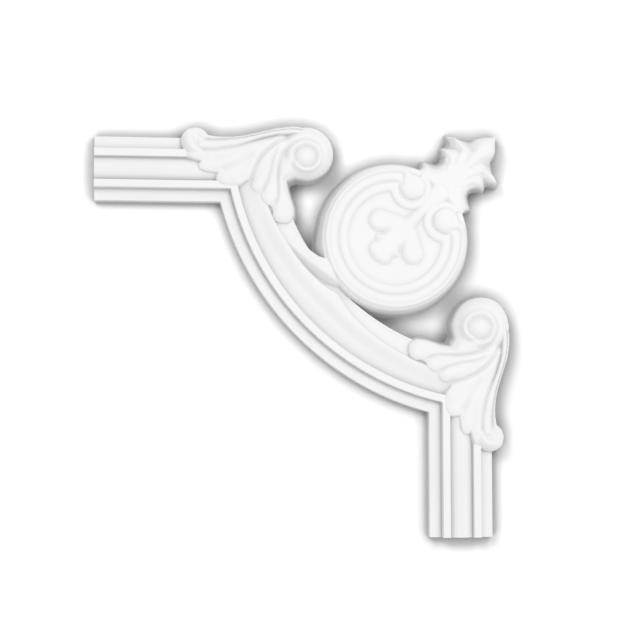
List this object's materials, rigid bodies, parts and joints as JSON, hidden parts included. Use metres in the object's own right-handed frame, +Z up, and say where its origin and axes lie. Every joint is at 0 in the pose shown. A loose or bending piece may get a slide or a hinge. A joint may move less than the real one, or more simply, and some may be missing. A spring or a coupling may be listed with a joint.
{
  "type": "moulding corner piece",
  "caption": "Cast corner ornament for wall panel mouldings: a concave arc between two moulding legs, with acanthus scrolls, a ringed medallion and a palmette.",
  "frame": {"origin": "on the flat back, under the middle of the arc band, on the line about which the two legs mirror", "axes": "X runs along the left leg towards the medallion, Z runs up the lower leg towards the medallion, and +Y points out of the flat back into the wall, so the relief faces -Y"},
  "size_m": [0.2826, 0.0245, 0.2788],
  "materials": {
    "primed_white": "matte white primer"
  },
  "bodies": {
    "root": {"corner_moulding": "primed_white"}
  },
  "joints": []
}
